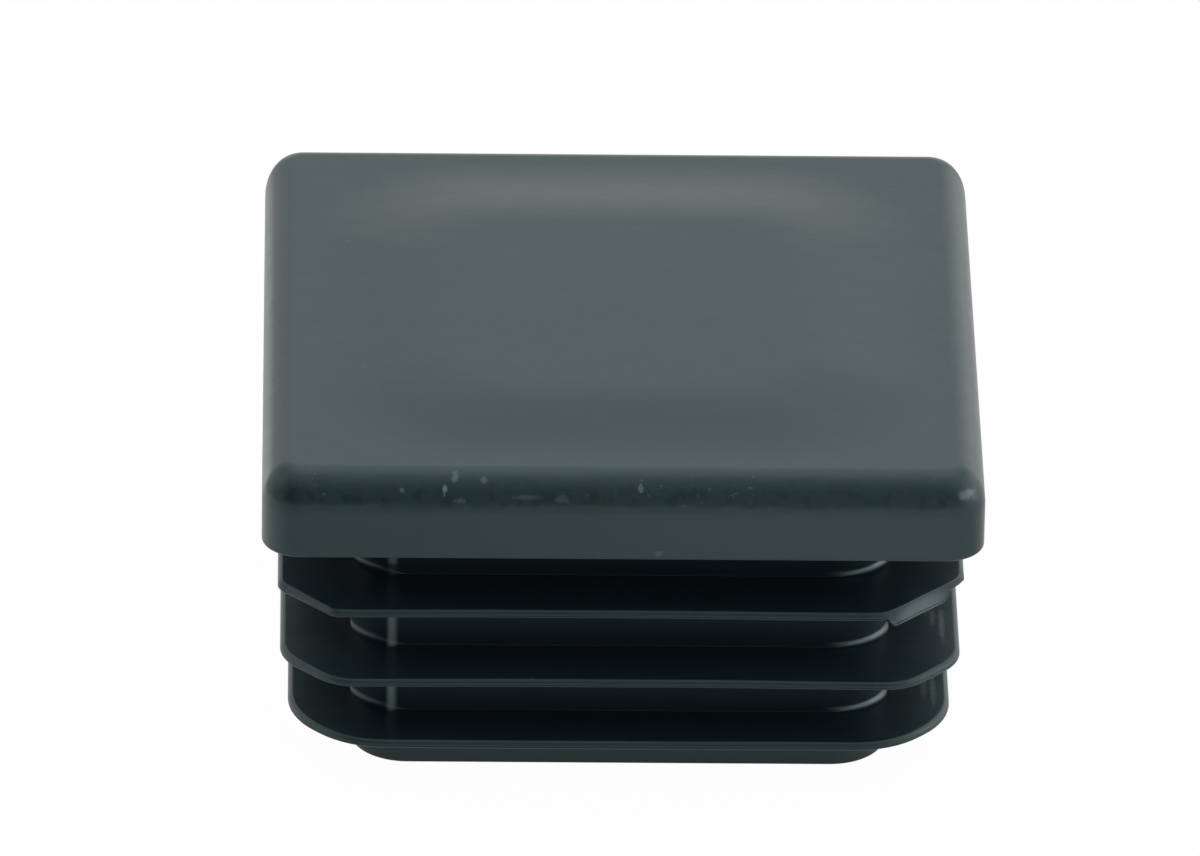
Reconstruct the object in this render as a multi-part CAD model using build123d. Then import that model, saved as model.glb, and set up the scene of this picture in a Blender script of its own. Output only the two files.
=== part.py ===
"""Push-in end cap for 40 x 40 mm square tube, moulded as one piece of black polyethylene.

A thick head covers the cut end of the tube. Below it a hollow square core carries three thin
ribs, which bend against the inside of the tube and hold the cap in.

All sizes are in millimetres. The origin is the centre of the shoulder, the underside of the
head that meets the end of the tube. +Z points out of the tube, and X and Y run along the sides
of the square.
"""

from build123d import *
import math
import os

TUBE_SIDE = 40.0  # outside of the tube that the cap closes, and so the side of its head

# ---- head ----
HEAD_HEIGHT = 5.0  # shoulder to the rim of the top
HEAD_CORNER_RADIUS = 2.2
HEAD_EDGE_RADIUS = 2.0  # round between the top and the sides
HEAD_FOOT_CHAMFER = 0.15  # between the sides and the shoulder

# ---- crown, the soft swell on the head's top ----
CROWN_MARGIN = 2.5  # level border between the swell and the sides
CROWN_FLANK = 8.0  # width of the swell's sloping flank
CROWN_CORNER_RADIUS = 9.0  # at the flank's foot
CROWN_FLAT_CORNER_RADIUS = 4.0  # at its top
CROWN_HEIGHT = 0.5
CROWN_STEPS = 4  # sections along the flank

# ---- core, the post that goes into the tube ----
CORE_SETBACK = 5.0  # outside of the tube to the core
CORE_CORNER_RADIUS = 3.2
CORE_DEPTH = 15.8  # shoulder to the open end
CORE_WALL = 1.8  # at the open end
CORE_LIP_CHAMFER = 0.12  # outer edge of the open end

# ---- hollow inside the core ----
ROOF_THICKNESS = 2.4  # head left above the hollow
HOLLOW_DRAFT = 1.0  # degrees, wider at the open end
HOLLOW_ROOF_CHAMFER = 0.8

# ---- ribs, each list from the shoulder down ----
RIB_TOP_DEPTHS = (3.75, 8.25, 12.4)  # shoulder to a rib's upper face
RIB_SETBACKS = (0.9, 1.05, 1.5)  # outside of the tube to a rib's tip
RIB_CORNER_CUTS = (3.1, 3.0, 3.3)  # leg of the cut across each corner
RIB_CUT_RADII = (1.0, 3.0, 5.0)  # round at each end of that cut
RIB_TIP_THICKNESS = 0.5
RIB_ROOT_THICKNESS = 0.85
RIB_RIM_RADIUS = 0.25  # upper edge of the tip
RIB_UNDER_CHAMFER = 0.1  # lower edge of the tip
RIB_LAND = 0.8  # level width under the tip, before the rib thickens
RIB_ROOT_CHAMFER = 0.2  # between a rib's upper face and the core
RIB_BURY = 0.6  # how far the thickening reaches into the core's wall

CORE_SIDE = TUBE_SIDE - 2 * CORE_SETBACK

# what the leg of a corner cut loses when its square is offset inwards by 1
CUT_SHRINK = 2 - math.sqrt(2)

LEVEL = 0.001  # edges this close to a height are taken as lying at it


def blend(start, end, share):
    """The value a share of the way from start to end."""
    return start + (end - start) * share


def rounded_square(side, radius, height):
    """A level square face with round corners, at a height on the Z axis."""
    return Plane.XY.offset(height) * RectangleRounded(side, side, radius)


def cut_square(side, cut, radius, height):
    """A level square face with its corners cut off, and a round at each end of a cut."""
    half = side / 2
    near = half - cut
    quarter = [Vector(half, near), Vector(near, half)]
    corners = [point.rotate(Axis.Z, 90 * turn) for turn in range(4) for point in quarter]
    outline = FilletPolyline(*corners, radius=radius, close=True)
    return Plane.XY.offset(height) * make_face(outline)


def level_edges(shape, height):
    """The edges of a shape that lie level at a height."""
    return shape.edges().filter_by_position(Axis.Z, height - LEVEL, height + LEVEL)


def make_crown():
    """The swell on the head's top, its flank shaped by half a cosine wave."""
    foot_side = TUBE_SIDE - 2 * CROWN_MARGIN
    sections = []
    for step in range(CROWN_STEPS + 1):
        share = step / CROWN_STEPS
        side = foot_side - 2 * CROWN_FLANK * share
        radius = blend(CROWN_CORNER_RADIUS, CROWN_FLAT_CORNER_RADIUS, share)
        rise = CROWN_HEIGHT * (1 - math.cos(math.pi * share)) / 2
        sections.append(rounded_square(side, radius, HEAD_HEIGHT + rise))
    return loft(sections, ruled=True)


def make_head():
    """The block that covers the tube's end."""
    head = extrude(rounded_square(TUBE_SIDE, HEAD_CORNER_RADIUS, 0), HEAD_HEIGHT)
    head = fillet(level_edges(head, HEAD_HEIGHT), HEAD_EDGE_RADIUS)
    head = chamfer(level_edges(head, 0), HEAD_FOOT_CHAMFER)
    return head + make_crown()


def make_core():
    """The square post, still solid."""
    core = extrude(rounded_square(CORE_SIDE, CORE_CORNER_RADIUS, -CORE_DEPTH), CORE_DEPTH)
    return chamfer(level_edges(core, -CORE_DEPTH), CORE_LIP_CHAMFER)


def make_rib(top_depth, setback, cut, radius):
    """A level plate with a rounded rim, its underside dropping towards the core."""
    side = TUBE_SIDE - 2 * setback
    top = -top_depth
    under = top - RIB_TIP_THICKNESS
    plate = extrude(cut_square(side, cut, radius, under), RIB_TIP_THICKNESS)
    plate = fillet(level_edges(plate, top), RIB_RIM_RADIUS)
    plate = chamfer(level_edges(plate, under), RIB_UNDER_CHAMFER)
    land = cut_square(side - 2 * RIB_LAND, cut - CUT_SHRINK * RIB_LAND, radius / 2, under)
    root_side = CORE_SIDE - 2 * RIB_BURY
    root_cut = CUT_SHRINK * (CORE_CORNER_RADIUS - RIB_BURY)
    root = cut_square(root_side, root_cut, radius / 4, top - RIB_ROOT_THICKNESS)
    return plate + loft([root, land], ruled=True)


def fill_rib_roots(cap):
    """The cap with a small slope where the upper face of each rib meets the core."""
    reach = CORE_SIDE / 2 + LEVEL
    for depth in RIB_TOP_DEPTHS:
        edges = level_edges(cap, -depth)
        roots = edges.filter_by_position(Axis.X, -reach, reach).filter_by_position(Axis.Y, -reach, reach)
        cap = chamfer(roots, RIB_ROOT_CHAMFER)
    return cap


def make_hollow():
    """The space inside the core, with a draft and a sloping edge round its roof."""
    roof = HEAD_HEIGHT - ROOF_THICKNESS
    mouth_radius = CORE_CORNER_RADIUS - CORE_WALL
    mouth = rounded_square(CORE_SIDE - 2 * CORE_WALL, mouth_radius, -CORE_DEPTH)
    hollow = extrude(mouth, CORE_DEPTH + roof, taper=HOLLOW_DRAFT)
    return chamfer(level_edges(hollow, roof), HOLLOW_ROOF_CHAMFER)


def make_end_cap():
    """The whole moulding."""
    cap = make_core()
    for rib in zip(RIB_TOP_DEPTHS, RIB_SETBACKS, RIB_CORNER_CUTS, RIB_CUT_RADII):
        cap += make_rib(*rib)
    cap = fill_rib_roots(cap)
    return cap + make_head() - make_hollow()


if __name__ == "__main__":
    os.makedirs("parts", exist_ok=True)
    end_cap = make_end_cap()
    export_step(end_cap, "parts/end_cap.step")
    print("end_cap", round(end_cap.volume, 1), "mm3,", len(end_cap.faces()), "faces")
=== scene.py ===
"""Dressed model of a push-in end cap for square tube, moulded in black polyethylene.

The cap is one closed skin: a run of level rings that starts in the middle of the head's top,
goes down round the head, the core and its three ribs, turns in at the open end and finishes in
the middle of the hollow's roof. Sizes are in millimetres and become metres as a ring is placed.
"""

import logging
import math
from dataclasses import dataclass
from enum import Enum
from typing import Callable, Iterator, Optional

import bmesh
import bpy
from mathutils import Matrix, Vector, noise


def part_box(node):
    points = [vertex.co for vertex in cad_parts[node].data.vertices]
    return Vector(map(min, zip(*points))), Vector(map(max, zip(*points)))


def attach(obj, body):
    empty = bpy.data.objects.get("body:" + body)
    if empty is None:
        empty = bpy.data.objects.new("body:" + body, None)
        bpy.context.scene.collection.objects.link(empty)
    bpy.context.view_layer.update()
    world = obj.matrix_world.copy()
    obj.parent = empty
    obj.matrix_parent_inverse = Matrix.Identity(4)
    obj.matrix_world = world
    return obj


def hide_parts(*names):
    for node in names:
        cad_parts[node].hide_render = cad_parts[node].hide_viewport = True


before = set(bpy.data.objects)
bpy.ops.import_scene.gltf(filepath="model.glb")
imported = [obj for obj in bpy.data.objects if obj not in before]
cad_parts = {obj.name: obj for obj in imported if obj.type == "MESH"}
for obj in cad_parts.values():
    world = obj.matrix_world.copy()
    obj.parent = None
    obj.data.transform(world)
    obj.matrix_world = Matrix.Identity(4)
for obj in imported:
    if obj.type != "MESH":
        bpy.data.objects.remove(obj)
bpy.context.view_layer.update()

log = logging.getLogger("end_cap")

MM = 0.001
NODE = "end_cap"
SLOT = "black_polyethylene"

CORE_INSET = 5.0  # from the head's side to the core's
RIB_ROWS = (  # depth of the top, inset from the head's side, leg of the cut corners, their rounds
    (3.75, 0.9, 3.1, 1.0),
    (8.25, 1.05, 3.0, 3.0),
    (12.4, 1.5, 3.3, 5.0),
)

QUARTERS = 4
SIDE_STEPS = 26  # divisions along a straight side
ARC_STEPS = 8  # divisions of each third of a corner
CROWN_STEPS = 20  # rings down the flank of the head's swell
CROWN_SHARES = (0.01, 0.05, 0.12, 0.22, 0.34, 0.46, 0.58, 0.7, 0.81, 0.91)  # on its flat middle
ROOF_SHARES = (1.0, 0.75, 0.5, 0.25, 0.08, 0.02)  # on the hollow's roof
HOLD = 0.06  # distance of the points that keep a flat face flat beside a round
LEAST_LENGTH = 1e-6  # a shorter line counts as a point
LEAST_CUT = 0.05  # shortest cut that an inset leaves
LEAST_RADIUS = 0.02  # smallest corner radius that an inset leaves

CUT_SHRINK = 2 - math.sqrt(2)  # what a corner cut's leg loses per unit of inset
CORNER_GAIN = math.sqrt(2) - 1  # how far a corner moves out per unit of radius that it loses
EIGHTH_TANGENT = math.tan(math.radians(22.5))  # tangent length of a 45 degree arc of radius 1


# ---- rings

def shares(count: int) -> list[float]:
    """Evenly spaced shares from 0 to 1, both included."""
    return [step / count for step in range(count + 1)]


def quarter_turn(steps: int) -> Iterator[tuple[float, float]]:
    """Places along a quarter of a circle of radius 1.

    Args:
        steps: Number of divisions.

    Returns:
        For each place, 1 less its cosine, which grows from 0 to 1, and 1 less its sine, which
        shrinks from 1 to 0.
    """
    for share in shares(steps):
        turn = math.radians(90 * share)
        yield 1 - math.cos(turn), 1 - math.sin(turn)


def clamp(value: float) -> float:
    """A value held between 0 and 1."""
    return min(max(value, 0.0), 1.0)


def straight(start: Vector, end: Vector, steps: int) -> list[Vector]:
    """Points along a straight line, closest together at its ends.

    Args:
        start: First point, which is included.
        end: Last point, which is left out.
        steps: Number of points.

    Returns:
        The points in order.
    """
    length = (end - start).length
    hold = min(HOLD / length, 1 / (2 * steps)) if length > LEAST_LENGTH else 0
    eased = [(1 - math.cos(math.pi * share)) / 2 for share in shares(steps - 2)]
    inner = [hold + (1 - 2 * hold) * share for share in eased]
    return [start.lerp(end, share) for share in [0, *inner]]


def arc(centre: Vector, radius: float, start: float, end: float, steps: int) -> list[Vector]:
    """Points along an arc in the XY plane, from an angle in degrees to one that is left out."""
    angles = [math.radians(start + (end - start) * step / steps) for step in range(steps)]
    return [centre + radius * Vector((math.cos(a), math.sin(a))) for a in angles]


@dataclass(frozen=True)
class Outline:
    """A square with its corners rounded, or cut off with a round at each end of the cut.

    Attributes:
        side: Side of the square.
        radius: Radius of the corner, or of the rounds at the ends of its cut.
        cut: Leg of the corner's cut, or 0 for a round corner.
    """

    side: float
    radius: float
    cut: float = 0.0

    def inset(self, distance: float) -> "Outline":
        """The same outline moved inwards by a distance, or outwards if it is negative."""
        cut = max(self.cut - CUT_SHRINK * distance, LEAST_CUT) if self.cut else 0.0
        return Outline(self.side - 2 * distance, max(self.radius - distance, LEAST_RADIUS), cut)

    def spread(self, distance: float, corner: float) -> "Outline":
        """The same outline moved outwards, and its corners further by losing some radius."""
        return Outline(self.side + 2 * distance, self.radius - corner)

    def quarter(self) -> list[Vector]:
        """One quarter of the outline.

        Returns:
            Flat points of the +X side and the corner after it, anticlockwise.
        """
        half = self.side / 2
        near = half - (self.cut + self.radius * EIGHTH_TANGENT if self.cut else self.radius)
        side = straight(Vector((half, -near)), Vector((half, near)), SIDE_STEPS)
        if not self.cut:
            return side + arc(Vector((near, near)), self.radius, 0, 90, 3 * ARC_STEPS)
        low = Vector((half - self.radius, near))
        high = Vector((near, half - self.radius))
        diagonal = self.radius * Vector((1, 1)).normalized()
        return (
            side
            + arc(low, self.radius, 0, 45, ARC_STEPS)
            + straight(low + diagonal, high + diagonal, ARC_STEPS)
            + arc(high, self.radius, 45, 90, ARC_STEPS)
        )

    def points(self, height: float, corner_rise: float = 0.0) -> list[Vector]:
        """The whole outline at a height, anticlockwise seen from above.

        Args:
            height: Height of its sides.
            corner_rise: How much higher the middle of each corner is.

        Returns:
            The points in order.
        """
        quarter = []
        for step, point in enumerate(self.quarter()):
            along = max(step - SIDE_STEPS, 0) / (3 * ARC_STEPS)
            rise = corner_rise * math.sin(math.pi * along)
            quarter.append(point.to_3d() + Vector((0, 0, height + rise)))
        turns = [Matrix.Rotation(math.radians(90 * turn), 3, "Z") for turn in range(QUARTERS)]
        return [turn @ point for turn in turns for point in quarter]


@dataclass(frozen=True)
class Ring:
    """One ring of the skin: an outline, or a place between two, at a height.

    Attributes:
        outline: The outline.
        height: Its height.
        towards: A second outline that the ring leans towards, if there is one.
        share: Share of the way to it.
        corner_rise: How much higher the middle of each corner is.
    """

    outline: Outline
    height: float
    towards: Optional[Outline] = None
    share: float = 0.0
    corner_rise: float = 0.0

    def points(self) -> list[Vector]:
        """Places the ring.

        Returns:
            Its points in millimetres.
        """
        start = self.outline.points(self.height, self.corner_rise)
        if self.towards is None:
            return start
        return [a.lerp(b, self.share) for a, b in zip(start, self.towards.points(self.height))]


class Skin:
    """A closed mesh grown ring by ring."""

    def __init__(self, place: Callable[[Vector], Vector]) -> None:
        """Starts an empty skin.

        Args:
            place: Moves a point in millimetres to where the real, slightly uneven one is.
        """
        self.bm = bmesh.new()
        self.place = place
        self.last: list[bmesh.types.BMVert] = []

    def begin(self, ring: Ring) -> None:
        """Closes the skin's start with a small face on its first ring.

        Args:
            ring: The first ring.
        """
        points = ring.points()
        made = bmesh.ops.create_circle(self.bm, cap_ends=False, segments=len(points), radius=1.0)
        self.last = list(made["verts"])
        self._shape(points)
        bmesh.ops.contextual_create(self.bm, geom=self.last)

    def grow(self, ring: Ring) -> None:
        """Extrudes the open end to a further ring.

        Args:
            ring: The ring that becomes the open end.
        """
        pairs = zip(self.last, self.last[1:] + self.last[:1])
        rim = [self.bm.edges.get(pair) for pair in pairs]
        made = bmesh.ops.extrude_edge_only(self.bm, edges=rim)
        fresh = {item for item in made["geom"] if isinstance(item, bmesh.types.BMVert)}
        self.last = [
            next(far for far in (edge.other_vert(vert) for edge in vert.link_edges) if far in fresh)
            for vert in self.last
        ]
        self._shape(ring.points())

    def finish(self, name: str) -> bpy.types.Object:
        """Closes the open end and makes the object.

        Args:
            name: The object's name.

        Returns:
            The object, smooth shaded, with every face pointing outwards.
        """
        bmesh.ops.contextual_create(self.bm, geom=self.last)
        bmesh.ops.recalc_face_normals(self.bm, faces=self.bm.faces)
        mesh = bpy.data.meshes.new(name)
        self.bm.to_mesh(mesh)
        self.bm.free()
        mesh.shade_smooth()
        piece = bpy.data.objects.new(name, mesh)
        bpy.context.scene.collection.objects.link(piece)
        return piece

    def _shape(self, points: list[Vector]) -> None:
        """Puts the vertices of the open end where a ring's points are."""
        for vert, point in zip(self.last, points):
            vert.co = self.place(point) * MM


def from_level(edge: Outline, level: float, width: float, drop: float,
               steps: int) -> Iterator[Ring]:
    """Rings that turn from a level face to an upright side. An inner corner's width is negative."""
    for grown, left in quarter_turn(steps):
        yield Ring(edge.inset(width * left), level - drop * grown)


def to_level(edge: Outline, level: float, width: float, rise: float,
             steps: int) -> Iterator[Ring]:
    """Rings that turn from an upright side to a level face, which a negative rise puts above."""
    for grown, left in quarter_turn(steps):
        yield Ring(edge.inset(width * grown), level + rise * left)


def to_root(post: Outline, foot: float, radius: float, corner: float,
            steps: int) -> Iterator[Ring]:
    """Rings round an inner corner that is wider at the post's own corners.

    Args:
        post: The post's outline.
        foot: Height of the level face below.
        radius: Radius of the inner corner along the post's sides.
        corner: What the post's corner radius loses at the foot, which widens the slope there.
        steps: Number of divisions.

    Returns:
        The rings in order.
    """
    for grown, left in quarter_turn(steps):
        outline = post.spread(radius * grown, corner * grown)
        yield Ring(outline, foot + radius * left, corner_rise=corner * CORNER_GAIN * left)


def between(start: Outline, end: Outline, from_height: float, to_height: float, steps: int,
            hold_start: float, hold_end: float) -> Iterator[Ring]:
    """Rings inside a face between two outlines' own rings. The holds are shares of the way."""
    for share in (hold_start, *shares(steps)[1:-1], 1 - hold_end):
        yield Ring(start, from_height + (to_height - from_height) * share, end, share)


# ---- the cap's parts

@dataclass
class Core:
    """The square post that goes into the tube, and the hollow inside it.

    Attributes:
        side: Side of the post.
        depth: From the shoulder to the open end.
        corner_radius: Radius of its upright corners.
        wall: Thickness of the wall at the open end.
        lip_radius: Round along the open end's outer edge.
        inner_lip_radius: Round along its inner edge.
        draft: Taper of the hollow's walls in degrees.
        roof_height: Height of the hollow's roof above the shoulder.
        roof_radius: Round between its walls and its roof.
    """

    side: float
    depth: float
    corner_radius: float = 3.2
    wall: float = 1.8
    lip_radius: float = 0.12
    inner_lip_radius: float = 0.1
    draft: float = 1.0
    roof_height: float = 2.6
    roof_radius: float = 0.8

    def outline(self) -> Outline:
        """The post's outline."""
        return Outline(self.side, self.corner_radius)

    def hollow(self, height: float) -> Outline:
        """The hollow's outline at a height, narrower towards its roof."""
        taper = (height + self.depth) * math.tan(math.radians(self.draft))
        return self.outline().inset(self.wall).inset(taper)

    def lip_rings(self) -> Iterator[Ring]:
        """Goes from the post's side, round the open end, to the mouth of the hollow.

        Returns:
            The rings in order.
        """
        post, foot = self.outline(), -self.depth
        yield Ring(post, foot + self.lip_radius + HOLD)
        yield from to_level(post, foot, self.lip_radius, self.lip_radius, steps=5)
        rim = post.inset(self.lip_radius)
        mouth = self.hollow(foot)
        inner_rim = mouth.inset(-self.inner_lip_radius)
        yield from between(rim, inner_rim, foot, foot, steps=2, hold_start=0.05, hold_end=0.05)
        yield from from_level(mouth, foot, -self.inner_lip_radius, -self.inner_lip_radius, steps=4)

    def hollow_rings(self) -> Iterator[Ring]:
        """Goes from the mouth, up the hollow's walls, to the middle of its roof.

        Returns:
            The rings in order.
        """
        start = self.inner_lip_radius + HOLD - self.depth
        spring = self.roof_height - self.roof_radius
        for share in shares(5):
            height = start + (spring - HOLD - start) * share
            yield Ring(self.hollow(height), height)
        top = self.hollow(spring)
        yield from to_level(top, self.roof_height, self.roof_radius, -self.roof_radius, steps=6)
        roof = top.inset(self.roof_radius + HOLD)
        for share in ROOF_SHARES:
            yield Ring(Outline(roof.side * share, roof.radius * share), self.roof_height)


@dataclass
class Head:
    """The block that covers the tube's end, with a soft swell on its top.

    Attributes:
        side: Side of the block.
        height: From the shoulder to its top, at the foot of the swell.
        crown_height: Height of the swell.
        corner_radius: Radius of the upright corners.
        edge_width: Width of the round along the top edge.
        edge_drop: Height of that round.
        foot_radius: Round along the bottom edge.
        crown_margin: From the block's side to the foot of the swell.
        crown_flank: Width of the swell's flank.
        crown_corner_radius: Corner radius at the foot of the swell.
        flat_corner_radius: Corner radius of its flat middle.
    """

    side: float
    height: float
    crown_height: float = 0.5
    corner_radius: float = 2.2
    edge_width: float = 1.64
    edge_drop: float = 2.4
    foot_radius: float = 0.15
    crown_margin: float = 2.5
    crown_flank: float = 8.0
    crown_corner_radius: float = 9.0
    flat_corner_radius: float = 4.0

    def crown_rings(self) -> Iterator[Ring]:
        """Goes from the middle of the top to the foot of the swell.

        Returns:
            The rings in order.
        """
        foot_side = self.side - 2 * self.crown_margin
        flat_side = foot_side - 2 * self.crown_flank
        top = self.height + self.crown_height
        for share in CROWN_SHARES:
            yield Ring(Outline(flat_side * share, self.flat_corner_radius * share), top)
        round_off = self.crown_corner_radius - self.flat_corner_radius
        for share in shares(CROWN_STEPS):
            side = flat_side + (foot_side - flat_side) * share
            radius = self.flat_corner_radius + round_off * share
            drop = self.crown_height * (1 - math.cos(math.pi * share)) / 2
            yield Ring(Outline(side, radius), top - drop)

    def rings(self, core: Core) -> Iterator[Ring]:
        """Goes from the middle of the top, round the head, to the core under the shoulder.

        Args:
            core: The core.

        Returns:
            The rings in order.
        """
        block = Outline(self.side, self.corner_radius)
        yield from self.crown_rings()
        foot = Outline(self.side - 2 * self.crown_margin, self.crown_corner_radius)
        rim = block.inset(self.edge_width)
        yield from between(foot, rim, self.height, self.height, steps=3, hold_start=0.1,
                           hold_end=HOLD / 2)
        yield from from_level(block, self.height, self.edge_width, self.edge_drop, steps=16)
        yield Ring(block, self.height - self.edge_drop - HOLD)
        yield Ring(block, (self.height - self.edge_drop) / 2)
        yield Ring(block, self.foot_radius + HOLD)
        yield from to_level(block, 0.0, self.foot_radius, self.foot_radius, steps=4)
        under = block.inset(self.foot_radius)
        neck = core.outline().inset(-Rib.root_radius)
        yield from between(under, neck, 0.0, 0.0, steps=3, hold_start=HOLD / 4, hold_end=HOLD / 4)
        yield from from_level(core.outline(), 0.0, -Rib.root_radius, Rib.root_radius, steps=5)


@dataclass
class Rib:
    """One of the thin ribs that grip the inside of the tube.

    Attributes:
        top_depth: From the shoulder to its top.
        side: Side of its outline.
        cut: Leg of its cut corners.
        cut_radius: Rounds at the ends of the cuts.
        tip_thickness: Thickness at its tip.
        root_thickness: Thickness at its root.
        rim_width: Width of the round along its upper rim.
        rim_drop: Height of that round.
        under_radius: Round along its lower rim.
        land: Width of the level strip underneath, inside the lower rim.
        root_radius: Inner round between the core and the rib.
        corner_root: How much wider that round is at the core's corners, as a loss of radius.
    """

    top_depth: float
    side: float
    cut: float
    cut_radius: float
    tip_thickness: float = 0.5
    root_thickness: float = 0.85
    rim_width: float = 0.28
    rim_drop: float = 0.38
    under_radius: float = 0.1
    land: float = 0.8
    root_radius: float = 0.03
    corner_root: float = 0.9

    def rings(self, core: Core) -> Iterator[Ring]:
        """Goes from the core above, out over the rib's top, round its tip and back underneath.

        Args:
            core: The core.

        Returns:
            The rings in order.
        """
        post = core.outline()
        tip = Outline(self.side, self.cut_radius, self.cut)
        top = -self.top_depth
        under = top - self.tip_thickness
        hold = top + self.root_radius + HOLD
        yield Ring(post, hold, corner_rise=self.corner_root * CORNER_GAIN)
        yield from to_root(post, top, self.root_radius, self.corner_root, steps=7)
        root = post.spread(self.root_radius, self.corner_root)
        rim = tip.inset(self.rim_width)
        yield from between(root, rim, top, top, steps=6, hold_start=0.02, hold_end=0.02)
        yield from from_level(tip, top, self.rim_width, self.rim_drop, steps=10)
        yield Ring(tip, under + self.under_radius + HOLD / 2)
        yield from to_level(tip, under, self.under_radius, self.under_radius, steps=4)
        rim, land = tip.inset(self.under_radius), tip.inset(self.land)
        yield from between(rim, land, under, under, steps=2, hold_start=0.1, hold_end=0.1)
        yield Ring(land, under)
        deep = top - self.root_thickness
        yield from between(land, root, under, deep, steps=4, hold_start=0.03, hold_end=0.03)
        yield from from_level(post, deep, -self.root_radius, self.root_radius, steps=5)


@dataclass(frozen=True)
class ThickCorner:
    """The first rib's front right corner, which is thick and cut further back than the others.

    Places on it are told by how far out they are, X - Y, and how far along it, X + Y.

    Attributes:
        start: Where along the corner the thick part begins.
        end: Where it ends.
        fade: Over what length it comes and goes.
        drop: How much deeper its underside is.
        width: Over what reach inside the cut the drop grows.
        cut_reach: How far out the rib reaches before it is cut.
        press: Share of what lies further out that is pressed in and not cut.
        over: Height above the middle of the rib's tip where the drop begins.
        span: Height over which it grows.
        height: How far above and below that middle points belong to the rib.
    """

    start: float = -4.0
    end: float = 2.9
    fade: float = 0.7
    drop: float = 0.62
    width: float = 1.3
    cut_reach: float = 33.5
    press: float = 0.15
    over: float = 0.15
    span: float = 0.3
    height: float = 1.0

    def shape(self, point: Vector, above: float) -> Vector:
        """Moves a point of the rib.

        Args:
            point: The point.
            above: Its height above the middle of the rib's tip.

        Returns:
            The moved point.
        """
        out, along = point.x - point.y, point.x + point.y
        ends = clamp(min(along - self.start, self.end - along) / self.fade)
        outer = clamp((out - self.cut_reach + self.width) / self.width)
        below = clamp((self.over - above) / self.span)
        drop = self.drop * math.sqrt(ends) * outer * below
        inwards = max(out - self.cut_reach, 0.0) * (1 - self.press) / 2
        return point + Vector((-inwards, inwards, -drop))


@dataclass
class EndCap:
    """The whole moulding.

    Attributes:
        head: The head over the tube's end.
        core: The post inside the tube.
        ribs: The ribs, from the shoulder down.
        thick_corner: How the first rib's front right corner differs.
        wave_height: Height of the ribs' unevenness.
        wave_length: Its length.
        wave_squeeze: How much shorter it is upwards, so that the ribs differ.
        wave_start: How far outside the core's side it starts.
        wave_reach: How far outside it is full.
        wave_top: Height above which nothing is uneven.
        wave_foot: Height below which nothing is.
    """

    head: Head
    core: Core
    ribs: list[Rib]
    thick_corner: ThickCorner = ThickCorner()
    wave_height: float = 0.05
    wave_length: float = 11.0
    wave_squeeze: float = 3.0
    wave_start: float = 0.15
    wave_reach: float = 4.0
    wave_top: float = -2.5
    wave_foot: float = -14.6

    def place(self, point: Vector) -> Vector:
        """Finds where a point really is: the ribs are a little uneven and one corner is thick.

        Args:
            point: The point of the even cap.

        Returns:
            The real place.
        """
        reach = max(abs(point.x), abs(point.y)) - self.core.side / 2
        if not self.wave_foot <= point.z <= self.wave_top or reach <= self.wave_start:
            return point
        spot = Vector((point.x, point.y, point.z * self.wave_squeeze))
        wave = noise.noise(spot / self.wave_length)
        share = min(reach / self.wave_reach, 1.0)
        moved = point + Vector((0, 0, 2 * self.wave_height * wave * share * share))
        first = self.ribs[0]
        middle = -first.top_depth - first.tip_thickness / 2
        if abs(point.z - middle) < self.thick_corner.height:
            return self.thick_corner.shape(moved, moved.z - middle)
        return moved

    def build(self) -> bpy.types.Object:
        """Makes the closed skin of the whole cap.

        Returns:
            The object.
        """
        rings = list(self.head.rings(self.core))
        for rib in self.ribs:
            rings += rib.rings(self.core)
        rings += self.core.lip_rings()
        rings += self.core.hollow_rings()
        skin = Skin(self.place)
        skin.begin(rings[0])
        for ring in rings[1:]:
            skin.grow(ring)
        return skin.finish("end_cap_moulding")


# ---- materials

class Node(str, Enum):
    """The shader nodes that the finishes and the room use."""

    MATH = "ShaderNodeMath"
    VECTOR = "ShaderNodeVectorMath"
    MIX = "ShaderNodeMix"
    NOISE = "ShaderNodeTexNoise"
    BUMP = "ShaderNodeBump"
    RANGE = "ShaderNodeMapRange"
    COORDINATE = "ShaderNodeTexCoord"
    SEPARATE = "ShaderNodeSeparateXYZ"
    PRINCIPLED = "ShaderNodeBsdfPrincipled"
    DIFFUSE = "ShaderNodeBsdfDiffuse"
    EMISSION = "ShaderNodeEmission"
    TRANSPARENT = "ShaderNodeBsdfTransparent"
    MIX_SHADER = "ShaderNodeMixShader"
    LIGHT_PATH = "ShaderNodeLightPath"
    GEOMETRY = "ShaderNodeNewGeometry"
    BACKGROUND = "ShaderNodeBackground"
    MATERIAL_OUTPUT = "ShaderNodeOutputMaterial"
    WORLD_OUTPUT = "ShaderNodeOutputWorld"


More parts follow.
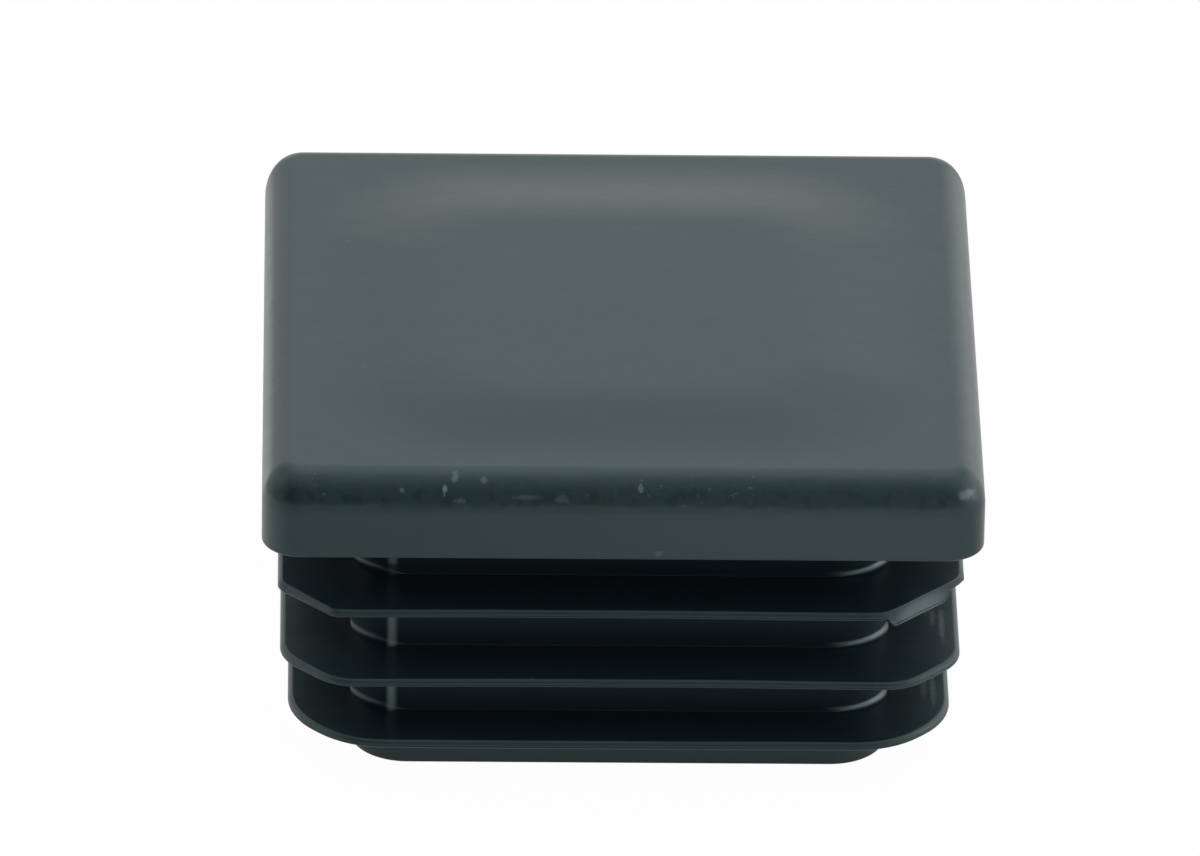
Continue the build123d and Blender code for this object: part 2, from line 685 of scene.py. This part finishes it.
class Wire:
    """A shader socket that can be used in sums."""

    def __init__(self, tree: "Tree", socket: bpy.types.NodeSocket) -> None:
        """Wraps a socket of a tree."""
        self.tree = tree
        self.socket = socket

    def _math(self, operation: str, first: object, second: object) -> "Wire":
        """A Math node on two values."""
        made = self.tree.node(Node.MATH, {"operation": operation}, {0: first, 1: second})
        return self.tree.out(made, 0)

    def __add__(self, other: object) -> "Wire":
        """The sum of two values."""
        return self._math("ADD", self, other)

    __radd__ = __add__

    def __sub__(self, other: object) -> "Wire":
        """One value less another."""
        return self._math("SUBTRACT", self, other)

    def __rsub__(self, other: object) -> "Wire":
        """A plain number less this value."""
        return self._math("SUBTRACT", other, self)

    def __mul__(self, other: object) -> "Wire":
        """The product of two values."""
        return self._math("MULTIPLY", self, other)

    __rmul__ = __mul__

    def absolute(self) -> "Wire":
        """The value without its sign."""
        return self._math("ABSOLUTE", self, 0.0)

    def most(self, other: object) -> "Wire":
        """The larger of two values."""
        return self._math("MAXIMUM", self, other)

    def ramp(self, low: float, high: float, start: float = 0.0, end: float = 1.0) -> "Wire":
        """A smooth step of this value.

        Args:
            low: Where the step begins.
            high: Where it ends.
            start: What it gives below.
            end: What it gives above.

        Returns:
            The step's value.
        """
        values = {"Value": self, "From Min": low, "From Max": high, "To Min": start, "To Max": end}
        made = self.tree.node(Node.RANGE, {"interpolation_type": "SMOOTHSTEP"}, values)
        return self.tree.out(made, "Result")

    def parts(self) -> list["Wire"]:
        """The X, Y and Z of a vector."""
        apart = self.tree.node(Node.SEPARATE, None, {0: self})
        return [self.tree.out(apart, key) for key in "XYZ"]


class Tree:
    """A node tree that is filled one node at a time."""

    def __init__(self, nodes: bpy.types.NodeTree) -> None:
        """Empties a node tree and wraps it."""
        self.nodes = nodes
        self.nodes.nodes.clear()

    def node(self, kind: Node, settings: Optional[dict] = None,
             values: Optional[dict] = None) -> bpy.types.Node:
        """Adds a node.

        Args:
            kind: The node's type.
            settings: Its settings, which are set first.
            values: For each input socket, by name or number, a value or the wire to link.

        Returns:
            The new node.
        """
        made = self.nodes.nodes.new(kind.value)
        for name, value in (settings or {}).items():
            setattr(made, name, value)
        for key, value in (values or {}).items():
            if isinstance(value, Wire):
                self.nodes.links.new(value.socket, made.inputs[key])
            else:
                made.inputs[key].default_value = value
        return made

    def vector(self, operation: str, *values: object) -> bpy.types.Node:
        """A Vector Math node."""
        return self.node(Node.VECTOR, {"operation": operation}, dict(enumerate(values)))

    def out(self, made: bpy.types.Node, key: object = 0) -> Wire:
        """The wire of a node's output."""
        return Wire(self, made.outputs[key])

    def tint(self, share: object, first: object, second: object) -> Wire:
        """A colour between two, by a share from 0 to 1."""
        made = self.node(Node.MIX, {"data_type": "RGBA"}, {0: share, 6: first, 7: second})
        return self.out(made, 2)

    def finish(self, shader: bpy.types.Node, output: Node) -> None:
        """Links a shader node to a new output node."""
        self.nodes.links.new(shader.outputs[0], self.node(output).inputs["Surface"])


@dataclass(frozen=True)
class Fade:
    """A smooth step over a span in millimetres.

    Attributes:
        low: Where the step begins.
        high: Where it ends.
        start: What it gives below.
        end: What it gives above.
    """

    low: float
    high: float
    start: float = 0.0
    end: float = 1.0

    def over(self, value: Wire) -> Wire:
        """The step for a value in metres."""
        return value.ramp(self.low * MM, self.high * MM, self.start, self.end)


@dataclass(frozen=True)
class Region:
    """A part of space that fades in and out along each coordinate.

    Attributes:
        x: Its steps along X.
        y: Its steps along Y.
        z: Its steps along Z.
    """

    x: tuple[Fade, ...] = ()
    y: tuple[Fade, ...] = ()
    z: tuple[Fade, ...] = ()

    def over(self, *place: Wire) -> Wire:
        """Multiplies its steps.

        Args:
            place: Two or three coordinates of the place in metres.

        Returns:
            The product.
        """
        sides = zip(place, (self.x, self.y, self.z))
        first, *others = [fade.over(value) for value, fades in sides for fade in fades]
        return math.prod(others, start=first)


@dataclass(frozen=True)
class Grain:
    """Noise over the plastic.

    Attributes:
        size: Size of its features in millimetres.
        detail: How much finer noise is in it.
        roughness: How strong the finer noise is.
        low: Value up to which it counts as none, where it is picked.
        high: Value from which it counts as full.
        level: How strong it is there.
    """

    size: float
    detail: float
    roughness: float = 0.5
    low: float = 0.0
    high: float = 1.0
    level: float = 1.0

    def over(self, where: Wire) -> Wire:
        """Adds the noise.

        Args:
            where: The place on the plastic.

        Returns:
            The noise, from 0 to 1.
        """
        return where.tree.out(where.tree.node(Node.NOISE, None, {
            "Vector": where, "Scale": 1 / (self.size * MM), "Detail": self.detail,
            "Roughness": self.roughness,
        }), "Fac")

    def picked(self, where: Wire) -> Wire:
        """Where the noise is strong, from 0 to its level."""
        return self.over(where).ramp(self.low, self.high, 0.0, self.level)


@dataclass(frozen=True)
class Mark:
    """A rounded spot painted into the colour, used for wear specks, painted highlights and painted
    shade.

    Attributes:
        centre: Its centre in millimetres.
        reach: Its half lengths along X, Y and Z in millimetres.
        strength: How strong it is, from 0 to 1.
        ragged: How uneven its edge is.
        core: Share of its reach up to which it is full.
        rim: Share of its reach where it has faded.
    """

    centre: tuple[float, float, float]
    reach: tuple[float, float, float]
    strength: float
    ragged: float = 2.4
    core: float = 0.35
    rim: float = 1.15

    def mask(self, where: Wire, uneven: Wire) -> Wire:
        """Finds how far each place lies in this mark.

        Args:
            where: The place on the plastic.
            uneven: Noise around zero, which makes the edge ragged.

        Returns:
            A share from 0 to the mark's strength.
        """
        tree = where.tree
        centre, reach = (tuple(part * MM for part in size) for size in (self.centre, self.reach))
        near = tree.out(tree.vector("SUBTRACT", where, centre))
        scaled = tree.out(tree.vector("DIVIDE", near, reach))
        far = tree.out(tree.vector("LENGTH", scaled), "Value")
        return (far + uneven * self.ragged).ramp(self.core, self.rim, self.strength, 0.0)


@dataclass(frozen=True)
class BlackPolyethylene:
    """Moulded black polyethylene, finely spark-textured on the head and smooth on the insert."""

    # Its own colour on the head, and on the core and ribs, where it is a little bluer. Then its
    # reflections', that of scuffs and dust and of the painted light on the head's front, the pale
    # one of rubbed specks and painted highlights, that of the painted light on the ribs' ends, and
    # the near black of the painted shade.
    colour: tuple = (0.004, 0.0215, 0.0225, 1.0)
    insert_colour: tuple = (0.0085, 0.0195, 0.0232, 1.0)
    sheen: tuple = (0.82, 1.0, 1.0, 1.0)
    scuff_and_light_colour: tuple = (0.085, 0.1, 0.1, 1.0)
    rubbed_and_highlight_colour: tuple = (0.22, 0.29, 0.29, 1.0)
    end_light_colour: tuple = (0.06, 0.105, 0.102, 1.0)
    painted_shade_colour: tuple = (0.001, 0.006, 0.006, 1.0)
    # How strong its reflections are, how rough it is, and what clouds and scuffs add to that.
    ior: float = 1.55
    head_roughness: float = 0.29
    insert_roughness: float = 0.3
    cloud_roughness: float = 0.06
    scuff_roughness: float = 0.2
    # Where the head begins along Z, and how wear and painted shade grow towards its sides and
    # upwards.
    head_foot: Fade = Fade(-0.6, -0.1)
    edge: Fade = Fade(-1.6, -0.6)
    edge_height: Fade = Fade(3.0, 3.6)
    # The head's fine texture, soft unevenness and broad waves.
    grain: Grain = Grain(0.22, 3.0, 0.6)
    clouds: Grain = Grain(1.6, 3.0)
    drift: Grain = Grain(9.0, 1.0)
    # Small scuffs on the worn edge, where there are any, and single pale specks everywhere.
    specks: Grain = Grain(0.35, 4.0, 0.6, low=0.6, high=0.74)
    patches: Grain = Grain(7.0, 2.0, low=0.45, high=0.6)
    dust: Grain = Grain(0.5, 1.0, low=0.74, high=0.8, level=0.35)
    # Painted shade: dark blots on the edge where its reflection is darker, and how they fade
    # upwards, and its dents, along Y.
    painted_shade_blots: Grain = Grain(0.8, 2.0, low=0.48, high=0.62, level=0.75)
    painted_shade_fade: Fade = Fade(3.9, 4.4, 1.0, 0.2)
    mottle: Grain = Grain(0.85, 1.5)
    mottle_front: Fade = Fade(-18.6, -17.6, 1.5, 0.2)
    # Painted light: the head's front paler towards the right, where more light falls, and the ribs
    # paler towards their ends, where side light reaches between them, by the distance from X = 0.
    painted_right_light: Region = Region(x=(Fade(-16.0, 12.0, 0.0, 0.12),), y=(Fade(-19.9, -19.5, 1.0, 0.0),))
    painted_end_light: Region = Region(x=(Fade(13.0, 18.0, 0.0, 0.42),), z=(Fade(-12.0, -3.0, 1.0, 0.4),))
    # Strength, and height in millimetres, of the fine and the broad bump, and the clouds' share.
    fine_bump: tuple[float, float] = (0.25, 0.02)
    broad_bump: tuple[float, float] = (0.5, 0.06)
    cloud_share: float = 0.5
    # A painted highlight up one corner of the core, the height where the first rib's shade breaks
    # it, and how it comes back.
    painted_corner_highlight: Region = Region(
        x=(Fade(-13.1, -12.75), Fade(-12.75, -12.3, 1.0, 0.0)),
        y=(Fade(-14.2, -13.6, 1.0, 0.0), Fade(-15.3, -15.1)),
        z=(Fade(-12.6, -12.2),),
    )
    corner_highlight_break: float = -3.6
    corner_highlight_shade: Fade = Fade(0.3, 0.6, 0.2, 1.0)
    # A painted highlight along each rib's root at one corner, by the distance from its height over
    # the rib.
    root_highlight: Region = Region(
        x=(Fade(11.2, 13.2, 0.0, 0.85),),
        y=(Fade(-12.9, -11.4, 1.0, 0.0),),
        z=(Fade(0.03, 0.18, 1.0, 0.0),),
    )
    root_highlight_height: float = 0.21
    # What makes the single marks' edges ragged, the painted shade marks and the pale ones.
    uneven: Grain = Grain(0.3, 3.0)
    # Painted shade on the head's front right and front left corners, where their reflection is
    # dark.
    painted_shade_marks: tuple[Mark, ...] = (
        Mark((19.35, -18.9, 1.2), (0.7, 0.7, 1.9), 0.75, 0.3),
        Mark((-18.6, -19.4, 3.7), (1.3, 0.8, 0.7), 0.75, 0.6),
    )
    # The pale ones: painted highlights and wear specks.
    wear_and_highlight_marks: tuple[Mark, ...] = (
        # Painted highlight on the first rib's thick front right corner.
        Mark((16.5, -17.0, -4.55), (2.3, 2.3, 0.85), 0.36, 0.2),
        # Painted highlight on the head's front right corner.
        Mark((18.85, -19.4, 3.95), (0.55, 0.6, 0.34), 0.42, 0.8),
        # Wear specks on the head's front edge and face.
        Mark((-9.9, -19.6, 4.22), (0.15, 0.5, 0.34), 0.6),
        Mark((-9.35, -19.2, 4.72), (0.22, 0.5, 0.25), 0.3),
        Mark((-12.3, -19.6, 4.13), (0.18, 0.4, 0.16), 0.25),
        Mark((-7.8, -19.3, 4.61), (0.22, 0.4, 0.14), 0.27),
        Mark((-9.1, -19.8, 3.65), (0.3, 0.4, 0.2), 0.2),
        Mark((-5.5, -19.8, 3.77), (0.9, 0.4, 0.17), 0.12),
        Mark((-3.45, -19.8, 3.7), (0.4, 0.4, 0.25), 0.12),
        Mark((0.9, -19.5, 4.36), (0.17, 0.5, 0.35), 0.35),
        Mark((1.9, -20.0, 0.42), (0.3, 0.3, 0.2), 0.15),
        # Painted highlights on the right ends of the second and third ribs.
        Mark((18.0, -12.3, -8.25), (0.2, 2.3, 0.3), 0.35, 1.2),
        Mark((17.5, -11.4, -8.25), (0.2, 0.9, 0.3), 0.28, 1.2),
        Mark((17.1, -10.6, -8.25), (0.2, 1.0, 0.3), 0.28, 1.2),
        Mark((17.6, -12.4, -12.4), (0.2, 2.0, 0.3), 0.33, 1.2),
        Mark((17.1, -12.2, -12.4), (0.2, 1.4, 0.3), 0.25, 1.2),
    )

    def build(self, head: Head, ribs: list[Rib]) -> bpy.types.Material:
        """Makes the material.

        Args:
            head: The head, whose edges the wear and the painted shade follow.
            ribs: The ribs, whose roots get a painted highlight at one corner.

        Returns:
            The material, which reads Object coordinates alone.
        """
        material = bpy.data.materials.new(SLOT)
        material.use_nodes = True
        tree = Tree(material.node_tree)
        where = tree.out(tree.node(Node.COORDINATE), "Object")
        x, y, z = where.parts()
        on_head = self.head_foot.over(z)
        clouds = self.clouds.over(where)
        beyond = x.absolute().most(y.absolute()) - head.side / 2 * MM
        edge = self.edge.over(beyond) * self.edge_height.over(z)
        scuffs = self.specks.picked(where) * self.patches.picked(where) * edge

        uneven = self.uneven.over(where) - 0.5
        # A painted highlight up the core's corner, dimmed where the first rib shades it.
        rubbed_and_highlights = self.painted_corner_highlight.over(x, y, z) * (1 - on_head)
        rubbed_and_highlights = rubbed_and_highlights * self.corner_highlight_shade.over((z - self.corner_highlight_break * MM).absolute())
        # A painted highlight along each rib's root at one corner.
        for rib in ribs:
            beside = (z + (rib.top_depth - self.root_highlight_height) * MM).absolute()
            rubbed_and_highlights = rubbed_and_highlights.most(self.root_highlight.over(x, y, beside))
        # Painted highlights and wear specks from the single pale marks, in one pale colour.
        for mark in self.wear_and_highlight_marks:
            rubbed_and_highlights = rubbed_and_highlights.most(mark.mask(where, uneven))
        # Painted shade: dark blots on the head's edge, and dark marks on its front corners.
        painted_shade_blots = self.painted_shade_blots.picked(where) * edge * self.painted_shade_fade.over(z)
        for mark in self.painted_shade_marks:
            painted_shade_blots = painted_shade_blots.most(mark.mask(where, uneven))
        pale = (scuffs + self.dust.picked(where)).ramp(0.0, 1.0)
        # Painted light: the head's front paler towards the right.
        painted_right_light = self.painted_right_light.over(x, y) * on_head
        # Painted light: the ribs paler towards their ends, where side light reaches.
        painted_end_light = self.painted_end_light.over(x.absolute(), y, z) * clouds * (1 - on_head)
        colour = tree.tint(on_head, self.insert_colour, self.colour)
        colour = tree.tint(pale, colour, self.scuff_and_light_colour)
        colour = tree.tint(painted_shade_blots, colour, self.painted_shade_colour)
        colour = tree.tint(painted_right_light, colour, self.scuff_and_light_colour)
        colour = tree.tint(painted_end_light, colour, self.end_light_colour)
        colour = tree.tint(rubbed_and_highlights, colour, self.rubbed_and_highlight_colour)

        span = self.head_roughness - self.insert_roughness
        rough = on_head * span + self.insert_roughness + scuffs * self.scuff_roughness
        rough = rough + (clouds - 0.5) * self.cloud_roughness
        mottle = self.mottle.over(where) * edge * self.mottle_front.over(y)
        broad = self.drift.over(where) + clouds * self.cloud_share + mottle
        normal = self._bump(self.grain.over(where) * on_head, self.fine_bump)
        normal = self._bump(broad, self.broad_bump, normal)
        plastic = tree.node(Node.PRINCIPLED, None, {
            "Base Color": colour, "Roughness": rough, "IOR": self.ior, "Specular Tint": self.sheen,
            "Normal": normal,
        })
        tree.finish(plastic, Node.MATERIAL_OUTPUT)
        return material

    @staticmethod
    def _bump(height: Wire, size: tuple[float, float], normal: Optional[Wire] = None) -> Wire:
        """Turns a height into a normal.

        Args:
            height: The height.
            size: Strength of the bump, and its height in millimetres.
            normal: The normal that it is added to, if there is one.

        Returns:
            The normal.
        """
        values = {"Strength": size[0], "Distance": size[1] * MM, "Height": height}
        if normal is not None:
            values["Normal"] = normal
        return height.tree.out(height.tree.node(Node.BUMP, None, values), "Normal")


# ---- studio

@dataclass(frozen=True)
class SoftBox:
    """A square lamp that faces the origin.

    Attributes:
        name: Name of the lamp.
        around: Degrees from the camera's side to the lamp's, anticlockwise seen from above.
        elevation: Degrees above the horizon.
        radiance: Brightness of its face, where white paper in full light is about 1.
        side: Side of the square in metres.
        distance: Distance to the origin in metres.
    """

    name: str
    around: float
    elevation: float
    radiance: float
    side: float
    distance: float = 0.6

    def build(self) -> bpy.types.Object:
        """Makes the lamp.

        Returns:
            The lamp.
        """
        around, elevation = math.radians(self.around), math.radians(self.elevation)
        level = Vector((math.sin(around), -math.cos(around), 0)) * math.cos(elevation)
        towards = level + Vector((0, 0, math.sin(elevation)))
        data = bpy.data.lights.new(self.name, "AREA")
        data.shape = "SQUARE"
        data.size = self.side
        data.energy = self.radiance * math.pi * self.side**2
        lamp = bpy.data.objects.new(self.name, data)
        lamp.location = towards * self.distance
        lamp.rotation_euler = towards.to_track_quat("Z", "Y").to_euler()
        bpy.context.scene.collection.objects.link(lamp)
        return lamp


@dataclass(frozen=True)
class Patch:
    """A bright part of the room.

    Attributes:
        side: Direction of its middle.
        begins: Cosine of the angle from there at which it begins.
        full: The same where it is full.
        level: What it adds to the room.
    """

    side: tuple[float, float, float]
    begins: float
    full: float
    level: float

    def over(self, direction: list[Wire]) -> Wire:
        """What it adds in each direction."""
        near = sum(part * share for part, share in zip(direction, self.side))
        return near.ramp(self.begins, self.full, 0.0, self.level)


@dataclass
class Studio:
    """A pale floor in a plain room that is brightest overhead and behind, and one soft box.

    Attributes:
        floor_height: Height of the floor in metres.
        floor_side: Side of the floor in metres.
        floor_colour: Colour of the floor's paper.
        white: Colour of the background and of all light.
        shadow_share: How much of the floor's own shading the camera sees.
        glare_front: How white reflections see the floor in front.
        glare_close: How white they see it close in front, along Y, at least.
        glare_right: How the glare in front ends at the right, along X.
        glare_left: How white they see the floor's left part.
        room_level: Brightness of the room in front.
        patches: Its brighter parts: all that is overhead and behind, the crown and low behind.
        side_level: What its left and right add.
        side_begins: Cosine of the angle from them at which they begin.
        slant: How much brighter its right is, and darker its left.
        box: The lamp.
    """

    floor_height: float
    floor_side: float = 0.19
    floor_colour: tuple = (0.79, 0.79, 0.79, 1.0)
    white: tuple = (1.0, 1.0, 1.0, 1.0)
    shadow_share: float = 0.02
    glare_front: Region = Region(
        x=(Fade(-26.0, 10.0, 0.4, 1.0),), y=(Fade(-56.0, -42.0, 1.0, 0.15),),
    )
    glare_close: Fade = Fade(-27.0, -21.0, 0.0, 0.5)
    glare_right: Fade = Fade(30.0, 42.0, 1.0, 0.15)
    glare_left: Region = Region(x=(Fade(-45.0, -30.0, 1.0, 0.0),), y=(Fade(-45.0, -35.0),))
    room_level: float = 0.32
    patches: tuple[Patch, ...] = (
        Patch((0.0, 0.64, 0.77), -0.42, 0.85, 0.645),
        Patch((0.0, 0.34, 0.94), 0.84, 0.99, 0.39),
        Patch((0.0, 0.995, 0.1), 0.93, 1.0, 0.11),
    )
    side_level: float = 0.5
    side_begins: float = 0.55
    slant: float = 0.3
    box: SoftBox = SoftBox("right_box", around=91.0, elevation=5.0, radiance=2.0, side=0.14)

    def build(self) -> None:
        """Makes the floor, the world and the lamp."""
        self._floor()
        self._world()
        self.box.build()

    def _floor(self) -> None:
        """The floor, which looks white to the camera and keeps the shadow."""
        bm = bmesh.new()
        bmesh.ops.create_grid(bm, x_segments=1, y_segments=1, size=self.floor_side / 2)
        bmesh.ops.translate(bm, verts=bm.verts, vec=(0, 0, self.floor_height))
        mesh = bpy.data.meshes.new("floor")
        bm.to_mesh(mesh)
        bm.free()
        floor = bpy.data.objects.new("floor", mesh)
        bpy.context.scene.collection.objects.link(floor)
        mesh.materials.append(self._paper())

    def _paper(self) -> bpy.types.Material:
        """Makes the floor's material.

        Returns:
            The material, which is clear from below and whiter in reflections where the glare is.
        """
        material = bpy.data.materials.new("floor_paper")
        material.use_nodes = True
        tree = Tree(material.node_tree)
        across, away, _ = tree.out(tree.node(Node.COORDINATE), "Object").parts()
        front = self.glare_front.over(across, away).most(self.glare_close.over(away))
        front = front * self.glare_right.over(across)
        left = self.glare_left.over(across, away)
        path = tree.node(Node.LIGHT_PATH)
        seen = tree.out(path, "Is Camera Ray") * (1 - self.shadow_share)
        mirrored = tree.out(path, "Is Glossy Ray") * front.most(left)
        paper = tree.node(Node.DIFFUSE, None, {"Color": self.floor_colour})
        glow = tree.node(Node.EMISSION, None, {"Color": self.white, "Strength": 1.0})
        lit = tree.node(Node.MIX_SHADER, None, {
            0: seen + mirrored, 1: tree.out(paper), 2: tree.out(glow),
        })
        clear = tree.node(Node.TRANSPARENT)
        below = tree.out(tree.node(Node.GEOMETRY), "Backfacing")
        whole = tree.node(Node.MIX_SHADER, None, {0: below, 1: tree.out(lit), 2: tree.out(clear)})
        tree.finish(whole, Node.MATERIAL_OUTPUT)
        return material

    def _world(self) -> None:
        """The room: white to the camera, with the soft light for everything else."""
        world = bpy.data.worlds.new("room")
        bpy.context.scene.world = world
        world.use_nodes = True
        tree = Tree(world.node_tree)
        direction = tree.out(tree.node(Node.COORDINATE), "Generated").parts()
        across = direction[0]
        level = across * self.slant + self.room_level
        level = level + across.absolute().ramp(self.side_begins, 1.0, 0.0, self.side_level)
        for patch in self.patches:
            level = level + patch.over(direction)
        seen = tree.out(tree.node(Node.LIGHT_PATH), "Is Camera Ray")
        strength = seen * (1 - level) + level
        room = tree.node(Node.BACKGROUND, None, {"Color": self.white, "Strength": strength})
        tree.finish(room, Node.WORLD_OUTPUT)


@dataclass(frozen=True)
class View:
    """The camera, far off with a long lens, so that upright edges stay nearly upright.

    Attributes:
        focal: Focal length in pixels of the picture.
        distance: Distance to the origin in metres.
        elevation: Degrees above the horizon.
        turn: Degrees that the cap is turned, anticlockwise seen from above.
        roll: Degrees that the picture is turned, anticlockwise.
        origin_x: Picture column of the origin.
        origin_y: Picture row of the origin.
        width: Width of the picture in pixels.
        height: Its height.
        sensor: Width of the camera's sensor in millimetres.
    """

    focal: float = 17043.0
    distance: float = 0.959
    elevation: float = 28.52
    turn: float = 1.221
    roll: float = -0.98
    origin_x: float = 618.8
    origin_y: float = 387.4
    width: int = 1200
    height: int = 856
    sensor: float = 36.0

    def build(self) -> bpy.types.Object:
        """Makes the camera and makes it the scene's own.

        Returns:
            The camera.
        """
        turn, tilt, roll = (math.radians(a) for a in (self.turn, self.elevation, self.roll))
        across = Vector((math.cos(turn), -math.sin(turn), 0))
        away = Vector((math.sin(turn), math.cos(turn), 0))
        forward = away * math.cos(tilt) - Vector((0, 0, 1)) * math.sin(tilt)
        upward = across.cross(forward)
        right = across * math.cos(roll) - upward * math.sin(roll)
        up = across * math.sin(roll) + upward * math.cos(roll)
        aside = right * (self.width / 2 - self.origin_x)
        rise = up * (self.origin_y - self.height / 2)
        aim = (forward * self.focal + aside + rise).normalized()
        right = aim.cross(up).normalized()
        up = right.cross(aim)
        data = bpy.data.cameras.new("camera")
        data.sensor_width = self.sensor
        data.lens = self.focal / self.width * self.sensor
        camera = bpy.data.objects.new("camera", data)
        turned = Matrix((right, up, -aim)).transposed().to_4x4()
        camera.matrix_world = Matrix.Translation(-forward * self.distance) @ turned
        bpy.context.scene.collection.objects.link(camera)
        bpy.context.scene.camera = camera
        return camera


def main() -> None:
    """Builds the cap, its finish, the studio and the camera."""
    low, high = (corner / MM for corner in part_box(NODE))
    side = high.x - low.x
    core = Core(side=side - 2 * CORE_INSET, depth=-low.z)
    head = Head(side=side, height=high.z - Head.crown_height)
    ribs = [Rib(depth, side - 2 * inset, cut, radius) for depth, inset, cut, radius in RIB_ROWS]
    piece = EndCap(head=head, core=core, ribs=ribs).build()
    piece.data.materials.append(BlackPolyethylene().build(head, ribs))
    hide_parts(NODE)
    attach(piece, "root")
    log.info("%s: %d faces", piece.name, len(piece.data.polygons))

    Studio(floor_height=low.z * MM).build()
    View().build()
    bpy.context.scene.view_settings.view_transform = "Standard"


if __name__ == "__main__":
    logging.basicConfig(level=logging.INFO, format="%(name)s: %(message)s")
    main()
